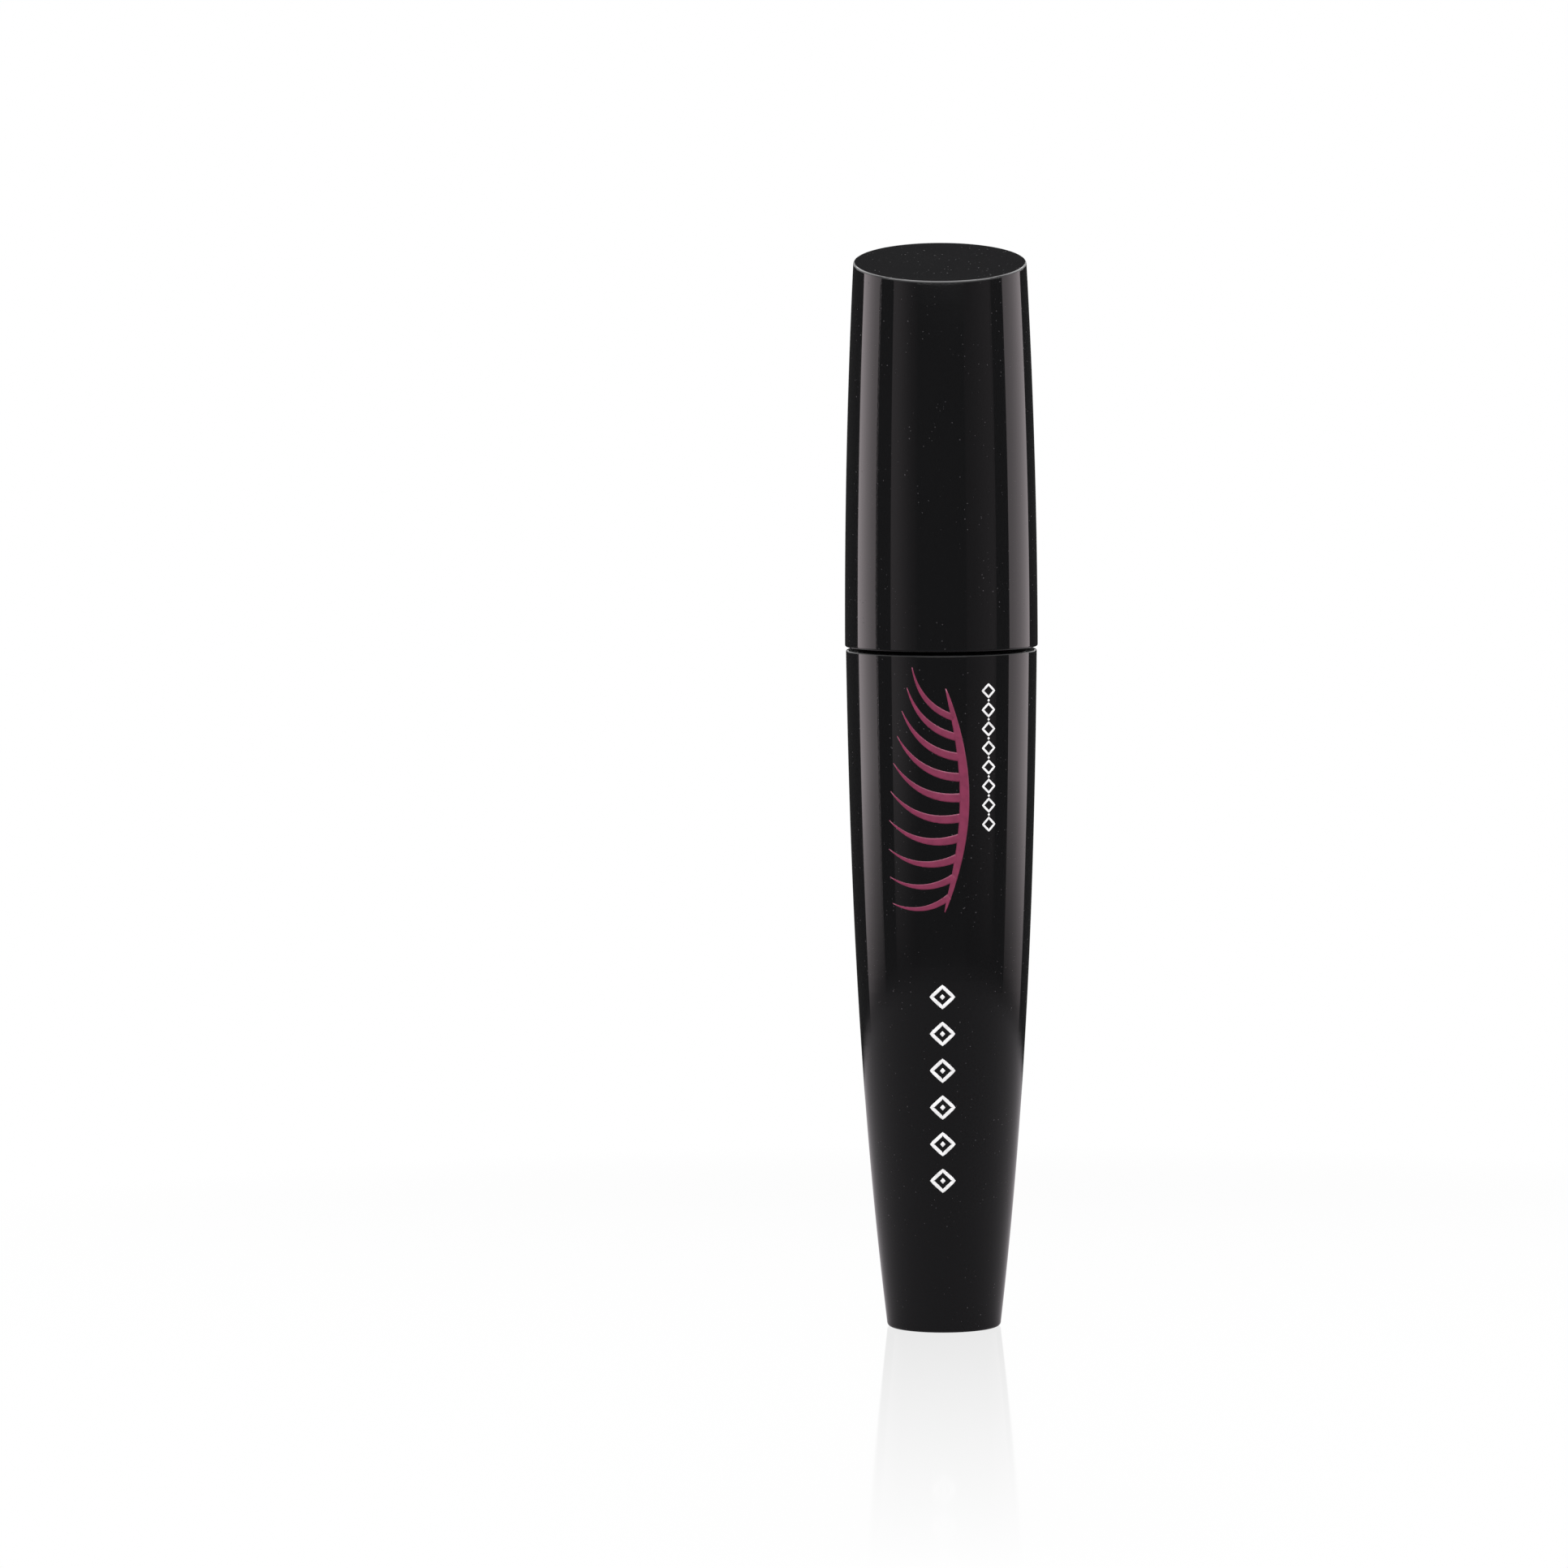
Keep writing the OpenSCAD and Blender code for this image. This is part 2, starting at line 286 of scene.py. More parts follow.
def softbox_cloth(name, tint, across, half, inner, outer, fade_low, fade_high):
    # Diffusing cloth, brighter towards one side and fading to nothing at its lower edge
    made, tree = material(name)
    at = coordinates(tree)
    height = add(tree, "SeparateXYZ", {"Vector": at}).outputs["Z"]
    side = add(tree, "VectorMath", {0: at, 1: across}, operation="DOT_PRODUCT").outputs["Value"]
    level = ramp(tree, side, -half, half, inner, outer)
    fade = add(tree, "MapRange", {"Value": height, "From Min": fade_low, "From Max": fade_high}).outputs[0]
    strength = add(tree, "Math", {0: level, 1: fade}, operation="MULTIPLY").outputs[0]
    surface(tree, add(tree, "Emission", {"Color": to_linear(tint), "Strength": strength}))
    return made


def strip(name, inner_turn, outer_turn, inner, outer, tint="#fff3f7", low=-0.02, high=0.18, fade_to=0.032):
    # Inner and outer edge: an angle from the tube's front, positive to the right, and the brightness there.
    # The strip stands from low to high, and its brightness reaches full strength at fade_to
    middle = math.radians((inner_turn + outer_turn) / 2)
    half = math.tan(math.radians(abs(outer_turn - inner_turn) / 2)) * STRIP_DISTANCE
    place = (Matrix.Rotation(middle, 4, "Z") @ Matrix.Translation((0, -STRIP_DISTANCE, (low + high) / 2))
             @ Matrix.Rotation(-math.pi / 2, 4, "X") @ Matrix.Diagonal((half, (high - low) / 2, 1, 1)))
    sheet = bmesh.new()
    bmesh.ops.create_grid(sheet, x_segments=1, y_segments=1, size=1, matrix=place)
    outwards = math.copysign(1, outer_turn - inner_turn)
    across = (outwards * math.cos(middle), outwards * math.sin(middle), 0)
    cloth = softbox_cloth(name + "_cloth", tint, across, half, inner, outer, low, fade_to)
    return stage_object(name, sheet, cloth, camera=False, shadow=False)


panels = [strip(*row) for row in STRIPS + HIGH_STRIPS]
print("panels:", [panel.name for panel in panels])

# %% [markdown]
# The lower half of the tube faces slightly down, so it mirrors the table: dark in front, brighter at
# the sides and behind. A round sheet just under the floor, which only reflections see, gives that soft
# rising edge.

# %% Table glow
GLOW_R = 0.25
GLOW_FADE_R = 0.19
GLOW_DROP = 0.5 * MM
GLOW_SIDE, GLOW_SLOPE, GLOW_CURVE = 0.27, 0.24, 0.09


def table_sheet():
    # Light table seen edge on: its brightness is a gentle curve from front to back
    made, tree = material("table_sheet_glow")
    at = coordinates(tree)
    heading = add(tree, "VectorMath", {0: at}, operation="NORMALIZE").outputs[0]
    behind = add(tree, "SeparateXYZ", {"Vector": heading}).outputs["Y"]
    slope = add(tree, "Math", {0: behind, 1: GLOW_CURVE, 2: GLOW_SLOPE}, operation="MULTIPLY_ADD").outputs[0]
    level = add(tree, "Math", {0: behind, 1: slope, 2: GLOW_SIDE}, operation="MULTIPLY_ADD").outputs[0]
    out = add(tree, "VectorMath", {0: at}, operation="LENGTH").outputs["Value"]
    edge = ramp(tree, out, GLOW_FADE_R, GLOW_R, 1, 0)
    strength = add(tree, "Math", {0: level, 1: edge}, operation="MULTIPLY").outputs[0]
    glow = add(tree, "Emission", {"Color": to_linear("#fff8fd"), "Strength": strength})
    clear = add(tree, "BsdfTransparent")
    surface(tree, add(tree, "MixShader", {"Fac": edge, 1: clear.outputs[0], 2: glow.outputs[0]}))
    return made


glow = stage_object("table_glow", flat_disc(GLOW_R, GLOW_DROP, 64), table_sheet(), camera=False,
                    diffuse=False, transmission=False, shadow=False)
print("table glow:", glow.name)

# %% [markdown]
# One lamp does the ordinary lighting. A large soft disc overhead brings out what is not a mirror: the
# ink, the bristles, the pale wiper and the washer.

# %% Overhead box
OVERHEAD_SIZE = 0.9
OVERHEAD_WATTS = 6
OVERHEAD_PLACE = (0, -0.1, 0.7)
overhead = bpy.data.lights.new("overhead_box", "AREA")
overhead.shape = "DISK"
overhead.size = OVERHEAD_SIZE
overhead.energy = OVERHEAD_WATTS
overhead_object = bpy.data.objects.new("overhead_box", overhead)
overhead_object.location = OVERHEAD_PLACE
scene.collection.objects.link(overhead_object)
overhead_object.visible_camera = False
print(f"lamp: {overhead_object.name}, {OVERHEAD_WATTS} W")

# %% [markdown]
# ## High-gloss black plastic
# The cap and the sleeve are ABS moulded in a polished tool. What makes it read as plastic and not as
# glass is small: the skin is very slightly wavy from shrinkage, handling leaves it a touch hazier in
# places, and fine dust settles on it. The waves are about 3 mm long and the dust is 0.02 to 0.15 mm
# across.

# %% Glossy black ABS


def glossy_abs():
    # ABS, moulded against a polished steel tool: deep black with a clear, faintly rippled shine
    made, tree = material("abs_polished_moulded")
    at = coordinates(tree)
    ripple = add(tree, "TexNoise", {"Vector": at, "Scale": 1 / (3.0 * MM), "Detail": 1.0}).outputs["Fac"]
    haze = add(tree, "TexNoise", {"Vector": at, "Scale": 1 / (9 * MM), "Detail": 5.0}).outputs["Fac"]
    grain = add(tree, "TexNoise", {"Vector": at, "Scale": 1 / (0.22 * MM), "Detail": 2.0}).outputs["Fac"]
    specks = add(tree, "TexVoronoi", {"Vector": at, "Scale": 1 / (0.5 * MM), "Randomness": 1.0})
    size = ramp(tree, specks.outputs["Color"], 0.1, 1.0, 0.02, 0.15)
    near = add(tree, "Math", {0: specks.outputs["Distance"], 1: size}, operation="LESS_THAN").outputs[0]
    patches = add(tree, "TexNoise", {"Vector": at, "Scale": 1 / (7 * MM)}).outputs["Fac"]
    patchy = ramp(tree, patches, 0.38, 0.62)
    dust = add(tree, "Math", {0: near, 1: patchy}, operation="MULTIPLY").outputs[0]
    colour = add(tree, "Mix", {"Factor": dust, "A": to_linear("#131314"), "B": to_linear("#3f3d40")},
                 data_type="RGBA").outputs["Result"]
    gloss = ramp(tree, haze, 0.3, 0.75, 0.04, 0.075)
    rough = add(tree, "Mix", {"Factor": dust, "A": gloss, "B": 0.6}, data_type="FLOAT").outputs["Result"]
    waves = add(tree, "Bump", {"Height": ripple, "Strength": 0.06, "Distance": 0.02 * MM}).outputs["Normal"]
    fine = add(tree, "Bump", {"Height": grain, "Strength": 0.3, "Distance": 0.004 * MM, "Normal": waves})
    surface(tree, add(tree, "BsdfPrincipled", {"Base Color": colour, "Roughness": rough, "IOR": 1.52,
                                               "Normal": fine.outputs["Normal"]}))
    return made


ABS = glossy_abs()
print("material:", ABS.name)

# %% [markdown]
# ## Helpers for turned shapes
# Nearly every piece of the tube is round, so it is drawn as half a section and spun once about the
# axis. The spin closes on itself, and points on the axis are merged into one pole. `finished` hands a
# piece to the frame: it rides on a body, may stand in for a CAD node, and takes its slot's finish.

# %% Spin and finish helpers
AXIS = (0, 0, 1)


def arc(centre, radius, start, end, steps):
    # Points of an arc in the section's (radius, height) plane, angles in degrees
    turns = [math.radians(start + (end - start) * k / steps) for k in range(steps + 1)]
    return [(centre[0] + radius * math.cos(t), centre[1] + radius * math.sin(t)) for t in turns]


def spun(section, steps=256):
    # A section that starts and ends on the axis stays open there; any other is joined into a loop
    bm = bmesh.new()
    chain = [bm.verts.new((r, 0, z)) for r, z in section]
    edges = [bm.edges.new(pair) for pair in zip(chain, chain[1:])]
    if section[0] != section[-1] and section[0][0] > 0:
        edges.append(bm.edges.new((chain[-1], chain[0])))
    bmesh.ops.spin(bm, geom=chain + edges, cent=(0, 0, 0), axis=AXIS, dvec=(0, 0, 0),
                   angle=2 * math.pi, steps=steps, use_merge=True, use_duplicate=False)
    bmesh.ops.remove_doubles(bm, verts=bm.verts, dist=0.001 * MM)
    bmesh.ops.recalc_face_normals(bm, faces=bm.faces)
    return bm


def finished(name, bm, body, finish, replaced=()):
    # Every face is shaded smooth except those that were tagged as truly flat
    mesh = bpy.data.meshes.new(name)
    for face in bm.faces:
        face.smooth = not face.tag
    bm.to_mesh(mesh)
    bm.free()
    obj = bpy.data.objects.new(name, mesh)
    scene.collection.objects.link(obj)
    mesh.materials.append(finish)
    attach(obj, body)
    if replaced:
        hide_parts(*replaced)
    print(f"{name}: {len(mesh.polygons)} faces on {body}")
    return obj


# %% [markdown]
# ## The cap
# A tall thimble of black ABS. Its side leans in along one very long arc, and its top is cut on a slant
# with a small rounded edge, which draws the bright line under the top face. The side is spun past its
# full height, the slanted plane cuts it off, one face closes the cut, and the rim alone is bevelled.

# %% Cap shell
CAP_EDGE_ROUND = 0.2 * MM
TOP_INSET = 0.25 * MM
BORE_R = 9.15 * MM
CAP_STEP_R = 8.5 * MM
CAP_STEP = 1.2 * MM
CAP_WALL = 1.35 * MM
CAP_CORNER = 0.8 * MM
CAP_SIDE_RISE = 39.5 * MM
INNER_LIP, OUTER_LIP = 0.15 * MM, 0.2 * MM


def cap_side(z):
    return CAP_R - (z - CAP_EDGE_Z) ** 2 / (2 * CAP_SIDE_R)


def cap_section():
    # From the ceiling down the inside, over a step that stops the threaded core, round the lip and up
    stop_z = high_z("wiper") + 3.2 * MM
    ceiling_z = CAP_TOP_Z - 3.6 * MM
    rise = [CAP_EDGE_Z + OUTER_LIP + CAP_SIDE_RISE * k / 20 for k in range(1, 21)]
    inside = [(0, ceiling_z), (cap_side(ceiling_z) - CAP_WALL - CAP_CORNER, ceiling_z),
              (cap_side(ceiling_z) - CAP_WALL, ceiling_z - CAP_CORNER),
              (cap_side(stop_z) - CAP_WALL, stop_z + CAP_STEP), (CAP_STEP_R, stop_z + CAP_STEP),
              (CAP_STEP_R, stop_z), (BORE_R, stop_z)]
    rim = (arc((BORE_R + INNER_LIP, CAP_EDGE_Z + INNER_LIP), INNER_LIP, 180, 270, 4)
           + arc((CAP_R - OUTER_LIP, CAP_EDGE_Z + OUTER_LIP), OUTER_LIP, 270, 360, 5))
    past_top = CAP_TOP_Z + 4 * MM
    return inside + rim + [(cap_side(z), z) for z in rise] + [(cap_side(past_top), past_top), (0, past_top)]


def cap_mesh():
    bm = spun(cap_section())
    across = Vector((0, -math.sin(CAP_SLANT), math.cos(CAP_SLANT)))
    cut = bmesh.ops.bisect_plane(bm, geom=bm.verts[:] + bm.edges[:] + bm.faces[:],
                                 plane_co=(0, 0, CAP_TOP_Z), plane_no=across, clear_outer=True)
    rim = [e for e in cut["geom_cut"] if isinstance(e, bmesh.types.BMEdge)]
    bmesh.ops.contextual_create(bm, geom=rim)
    bmesh.ops.bevel(bm, geom=rim, offset=CAP_EDGE_ROUND, affect="EDGES", segments=6, profile=0.5,
                    material=-1, clamp_overlap=True)
    top = max(bm.faces, key=lambda f: f.calc_area())
    bmesh.ops.inset_region(bm, faces=[top], thickness=TOP_INSET, use_even_offset=True)
    top.tag = True
    bmesh.ops.recalc_face_normals(bm, faces=bm.faces)
    return bm


finished("cap_gloss", cap_mesh(), "cap", ABS, ["cap_shell"])

# %% [markdown]
# ## The sleeve
# The bottle's outer skin, closed at the foot. It is widest and almost straight under the cap and closes
# faster and faster towards the table, where its edge is rounded. The section follows the same taper as
# the CAD.

# %% Sleeve
FOOT_ROUND = 0.45 * MM
SLEEVE_WALL = 1.1 * MM
SLEEVE_FLOOR = 1.3 * MM
SLEEVE_LIP = 0.2 * MM
STEP_R = 9.85 * MM
STEP_DEPTH = 1.2 * MM
TAPER_LINE, TAPER_SQUARE, TAPER_CUBE = 0.21, 0.475, 0.315


def taper(z):
    # t runs from 0 at the shoulder to 1 at the foot, and the three shares of the taper add up to 1
    t = (SHOULDER_Z - z) / SHOULDER_Z
    return SLEEVE_R - (SLEEVE_R - BASE_R) * (TAPER_LINE * t + TAPER_SQUARE * t * t + TAPER_CUBE * t**3)


def sleeve_section():
    step_z = SHOULDER_Z - STEP_DEPTH
    heights = [FOOT_ROUND + (SHOULDER_Z - SLEEVE_LIP - FOOT_ROUND) * k / 48 for k in range(1, 49)]
    inner = [step_z + (SLEEVE_FLOOR - step_z) * k / 24 for k in range(25)]
    foot = arc((taper(FOOT_ROUND) - FOOT_ROUND, FOOT_ROUND), FOOT_ROUND, 270, 355, 8)
    lip = arc((taper(SHOULDER_Z) - SLEEVE_LIP, SHOULDER_Z - SLEEVE_LIP), SLEEVE_LIP, 15, 90, 4)
    outside = [(0, 0)] + foot + [(taper(z), z) for z in heights] + lip
    inside = [(taper(z) - SLEEVE_WALL, z) for z in inner] + [(0, SLEEVE_FLOOR)]
    return outside + [(STEP_R, SHOULDER_Z), (STEP_R, step_z)] + inside


finished("sleeve_gloss", spun(sleeve_section()), "bottle", ABS, ["outer_sleeve"])

# %% [markdown]
# ## The decoration
# The real tube is screen printed: a plum-coloured ornament and two rows of small white marks, all
# running up the tube. Screen ink is about 0.02 mm thick and sits on top of the plastic. Each stroke
# here is a flat curve with a width that swells and tapers; it is made a mesh and bent round the sleeve,
# a lens of ink on the gloss.

# %% Ink strokes
INK_LIFT = 0.004 * MM
INK_FLATTEN = 0.035
WELD = 0.0001 * MM


def wrapped(vertex):
    # x is the distance round the sleeve from its front line, y the height, z the height of the ink
    around, height, lift = vertex
    radius = taper(height)
    turn = around / radius
    out = radius + INK_LIFT + lift * INK_FLATTEN
    return Vector((out * math.sin(turn), -out * math.cos(turn), height))


def ink(name, strokes, finish):
    # A stroke is (points, half widths, closed), with points round and up the sleeve, all in millimetres
    data = bpy.data.curves.new(name, "CURVE")
    data.dimensions = "3D"
    data.bevel_depth = 1.0
    data.bevel_resolution = 2
    data.use_fill_caps = True
    for points, halves, closed in strokes:
        line = data.splines.new("POLY")
        line.points.add(len(points) - 1)
        line.use_cyclic_u = closed
        for spot, (x, y), half in zip(line.points, points, halves):
            spot.co = (x * MM, y * MM, 0, 1)
            spot.radius = half * MM
    flat = bpy.data.objects.new(name, data)
    scene.collection.objects.link(flat)
    mesh = bpy.data.meshes.new_from_object(flat.evaluated_get(bpy.context.evaluated_depsgraph_get()))
    bpy.data.objects.remove(flat)
    bm = bmesh.new()
    bm.from_mesh(mesh)
    for vertex in bm.verts:
        vertex.co = wrapped(vertex.co)
    bmesh.ops.remove_doubles(bm, verts=bm.verts, dist=WELD)
    return finished(name, bm, "bottle", finish)


def bezier(a, b, c, steps=14):
    # A curve from a to c that leaves and arrives pointing at b
    return [tuple((1 - t) ** 2 * p + 2 * t * (1 - t) * q + t * t * r for p, q, r in zip(a, b, c))
            for t in (k / steps for k in range(steps + 1))]


# %% [markdown]
# The ornament is a spray of lashes: a long curved lid line on the right with tapering lashes that fan
# out of it to the left. It is a plain motif of this tube's trade, and spells nothing.

# %% Plum spray of lashes


def screen_ink(name, colour, rough):
    # Solvent screen ink, printed and cured: opaque, duller than the plastic, marked by the screen's mesh
    made, tree = material(name)
    at = coordinates(tree)
    mottle = add(tree, "TexNoise", {"Vector": at, "Scale": 1 / (0.9 * MM), "Detail": 4.0}).outputs["Fac"]
    mesh_marks = add(tree, "TexNoise", {"Vector": at, "Scale": 1 / (0.12 * MM), "Detail": 1.0}).outputs["Fac"]
    tone = ramp(tree, mottle, 0.3, 0.7, 0.86, 1.06)
    shade = add(tree, "VectorMath", {0: to_linear(colour)[:3], "Scale": tone}, operation="SCALE").outputs[0]
    bump = add(tree, "Bump", {"Height": mesh_marks, "Strength": 0.25, "Distance": 0.01 * MM})
    surface(tree, add(tree, "BsdfPrincipled", {"Base Color": shade, "Roughness": rough, "IOR": 1.49,
                                               "Normal": bump.outputs["Normal"]}))
    return made


PLUM_INK = screen_ink("screen_ink_plum", "#863151", 0.3)
WHITE_INK = screen_ink("screen_ink_white", "#fbfafb", 0.42)
SPRAY_LOW, SPRAY_HIGH = 46.6, 71.0
LASHES = 10


def lid_line(f):
    # A shallow arc up the sleeve, bowed to the right
    return -0.9 + 3.2 * math.sin(math.pi * (0.1 + 0.78 * f)), SPRAY_LOW + (SPRAY_HIGH - SPRAY_LOW) * f


def lash(f):
    # One lash, rooted at the share f of the way up the lid line, longest and thickest in the middle
    root_x, root_y = lid_line(f)
    length = 5.6 + 3.2 * math.sin(math.pi * f) ** 0.8
    lean = math.radians(-24 + 72 * f)
    bend = (root_x - 0.55 * length * math.cos(lean - 0.35), root_y + 0.55 * length * math.sin(lean - 0.35))
    tip = (root_x - length * math.cos(lean + 0.2), root_y + length * math.sin(lean + 0.2))
    points = bezier((root_x, root_y), bend, tip)
    root_half = 0.26 + 0.2 * math.sin(math.pi * f)
    halves = [root_half * (1 - (k / (len(points) - 1)) ** 1.6) + 0.04 for k in range(len(points))]
    return points, halves, False


lid = [lid_line(k / 40) for k in range(41)]
lid_halves = [0.05 + 0.5 * math.sin(math.pi * k / 40) ** 0.7 for k in range(41)]
lashes = [lash(0.07 + 0.8 * k / (LASHES - 1)) for k in range(LASHES)]
ink("print_spray", [(lid, lid_halves, False)] + lashes, PLUM_INK)

# %% [markdown]
# Two rows of lozenges stand where small print would: a fine row beside the spray, and a bolder one
# below it.

# %% White lozenge rows
FINE_X, FINE_LOW, FINE_PITCH, FINE_COUNT = 5.15, 56.1, 2.08, 8
BOLD_X, BOLD_LOW, BOLD_PITCH, BOLD_COUNT = -0.2, 17.0, 4.06, 6


def lozenge(x, y, half_x, half_y, half_width, steps=6):
    # An open diamond, with extra points along its sides so that it bends with the sleeve
    corners = [(x - half_x, y), (x, y + half_y), (x + half_x, y), (x, y - half_y)]
    points = [tuple(p + (q - p) * k / steps for p, q in zip(a, b))
              for a, b in zip(corners, corners[1:] + corners[:1]) for k in range(steps)]
    return points, [half_width] * len(points), True


def dot(x, y, half):
    # A short solid stroke that comes to a point at both ends
    return [(x, y - half), (x, y), (x, y + half)], [0.02, half, 0.02], False


fine_row = [lozenge(FINE_X, FINE_LOW + FINE_PITCH * k, 0.72, 0.7, 0.12) for k in range(FINE_COUNT)]
fine_row += [dot(FINE_X, FINE_LOW + FINE_PITCH * (k + 0.5), 0.16) for k in range(FINE_COUNT - 1)]
ink("print_fine_row", fine_row, WHITE_INK)
bold_row = [lozenge(BOLD_X, BOLD_LOW + BOLD_PITCH * k, 1.22, 1.15, 0.19) for k in range(BOLD_COUNT)]
bold_row += [dot(BOLD_X, BOLD_LOW + BOLD_PITCH * k, 0.3) for k in range(BOLD_COUNT)]
ink("print_bold_row", bold_row, WHITE_INK)

# %% [markdown]
# ## The rod
# A black acetal tube that hangs from the cap. Its tip narrows so that it finds the wiper's hole, and
# ends in a rounded shoulder where the wire goes in. The bead near its top snaps into the threaded core.

# %% Rod
ROD_R = 2.73 * MM
ROD_TIP_R = 2.35 * MM
ROD_TIP_ROUND = 0.45 * MM
ROD_BORE_R = 1.5 * MM
ROD_TOP_CHAMFER = 0.3 * MM
BEAD_R = widest("rod")
SOCKET_R = 0.73 * MM
SOCKET_DEPTH = 12 * MM


def moulded_acetal():
    # Acetal, moulded and drawn straight out of its tool: a plain shine, a faint ripple, fine lines along it
    made, tree = material("acetal_moulded_black")
    at = coordinates(tree)
    ripple = add(tree, "TexNoise", {"Vector": at, "Scale": 1 / (2.5 * MM), "Detail": 2.0}).outputs["Fac"]
    streak = add(tree, "Mapping", {"Vector": at, "Scale": (1, 1, 0.08)})
    drawn = add(tree, "TexNoise", {"Vector": streak.outputs[0], "Scale": 1 / (0.15 * MM)}).outputs["Fac"]
    bump = add(tree, "Bump", {"Height": ripple, "Strength": 0.12, "Distance": 0.02 * MM})
    roughness = ramp(tree, drawn, 0.35, 0.7, 0.12, 0.17)
    surface(tree, add(tree, "BsdfPrincipled", {"Base Color": to_linear("#141415"), "Roughness": roughness,
                                               "IOR": 1.49, "Normal": bump.outputs["Normal"]}))
    return made


def rod_section():
    top_z = high_z("rod")
    bead_z = top_z - 3.45 * MM
    tip = arc((ROD_TIP_R - ROD_TIP_ROUND, ROD_TIP_Z + ROD_TIP_ROUND), ROD_TIP_ROUND, 270, 352, 7)
    side = [(ROD_TIP_R + 0.15 * MM, ROD_TIP_Z + 1.6 * MM), (ROD_R - 0.14 * MM, ROD_TIP_Z + 2.9 * MM),
            (ROD_R - 0.08 * MM, ROD_TIP_Z + 4.4 * MM), (ROD_R - 0.06 * MM, ROD_TIP_Z + 7 * MM),
            (ROD_R, ROD_TIP_Z + 41 * MM), (ROD_R, bead_z)]
    bead = arc((ROD_R, bead_z + 0.62 * MM), BEAD_R - ROD_R, -60, 60, 6)
    return ([(SOCKET_R, ROD_TIP_Z)] + tip + side + bead
            + [(ROD_R, top_z - ROD_TOP_CHAMFER), (ROD_R - ROD_TOP_CHAMFER, top_z), (ROD_BORE_R, top_z),
               (ROD_BORE_R, ROD_TIP_Z + SOCKET_DEPTH + 1 * MM), (SOCKET_R, ROD_TIP_Z + SOCKET_DEPTH)])


finished("wand_rod", spun(rod_section(), steps=96), "wand", moulded_acetal(), ["rod"])

# %% [markdown]
# ## The twisted wire
# One bright steel wire, folded in half at the brush's nose and twisted left-handed, as these brushes
# are. The path goes down one strand, round the fold and up the other, and a round bevel turns it into
# wire.

# %% Twisted wire
STRAND_R = 0.34 * MM
STRAND_OFFSET = 0.36 * MM
WIRE_LEAD = 2.86 * MM
STEPS_A_TURN = 22
FOLD_Z = BRUSH_END_Z + STRAND_R + STRAND_OFFSET
WIRE_TOP_Z = high_z("brush_wire")


def steel_wire():
    # Stainless wire drawn through a die: bright, with fine lines along it
    made, tree = material("stainless_drawn_wire")
    at = coordinates(tree)
    lines = add(tree, "TexNoise", {"Vector": at, "Scale": 1 / (0.15 * MM), "Detail": 3.0}).outputs["Fac"]
    rough = ramp(tree, lines, 0.3, 0.7, 0.2, 0.34)
    bump = add(tree, "Bump", {"Height": lines, "Strength": 0.15, "Distance": 0.01 * MM})
    surface(tree, add(tree, "BsdfPrincipled", {"Base Color": to_linear("#c9c6c2"), "Metallic": 1.0,
                                               "Roughness": rough, "Normal": bump.outputs["Normal"]}))
    return made


def strand(rise, side):
    # A point of one strand's left-handed helix, at a height above the fold
    turn = side - 2 * math.pi * rise / WIRE_LEAD
    return STRAND_OFFSET * math.cos(turn), STRAND_OFFSET * math.sin(turn), FOLD_Z + rise


def tubes(name, lines, radius, resolution):
    # Round wires or filaments: each line is a list of (x, y, z, thickness), thickness 1 being the full radius
    data = bpy.data.curves.new(name, "CURVE")
    data.dimensions = "3D"
    data.bevel_depth = radius
    data.bevel_resolution = resolution
    data.use_fill_caps = True
    for points in lines:
        line = data.splines.new("POLY")
        line.points.add(len(points) - 1)
        for spot, (x, y, z, thick) in zip(line.points, points):
            spot.co = (x, y, z, 1)
            spot.radius = thick
    curve = bpy.data.objects.new(name, data)
    scene.collection.objects.link(curve)
    mesh = bpy.data.meshes.new_from_object(curve.evaluated_get(bpy.context.evaluated_depsgraph_get()))
    bpy.data.objects.remove(curve)
    bm = bmesh.new()
    bm.from_mesh(mesh)
    bmesh.ops.remove_doubles(bm, verts=bm.verts, dist=WELD)
    return bm


def wire_path():
    length = WIRE_TOP_Z - FOLD_Z
    steps = round(STEPS_A_TURN * length / WIRE_LEAD)
    down = [strand(length * k / steps, 0) for k in range(steps, 0, -1)]
    fold = [(STRAND_OFFSET * math.cos(a), 0, FOLD_Z - STRAND_OFFSET * math.sin(a))
            for a in (math.pi * k / 10 for k in range(11))]
    up = [strand(length * k / steps, math.pi) for k in range(1, steps + 1)]
    return [(*p, 1.0) for p in down + fold + up]


finished("twisted_wire", tubes("twisted_wire", [wire_path()], STRAND_R, 3), "wand", steel_wire(),
         ["brush_wire"])

# %% [markdown]
# ## The bristles
# Several hundred nylon filaments lie between the two strands before the twist, so each one crosses the
# wire and shows on both sides, and the row of them winds round like a spiral stair. The shears leave
# two swells, a waist and a pointed nose. A little wax holds neighbours together in tufts, so their tips
# lean towards each other.

# %% Bristles
FILAMENTS = 860
FILAMENT_R = 0.066 * MM
BRUSH_TOP_Z = ROD_TIP_Z - 0.5 * MM
BRUSH_MM = (ROD_TIP_Z - BRUSH_END_Z) / MM
FIRST_PEAK_MM = 3
PEAK_SPACING_MM = 13.6
TOP_CUT_MM, WAIST_CUT_MM, NOSE_CUT_MM = 1.35, 0.31, 2.5
TUFT_ANGLE = math.pi / 7


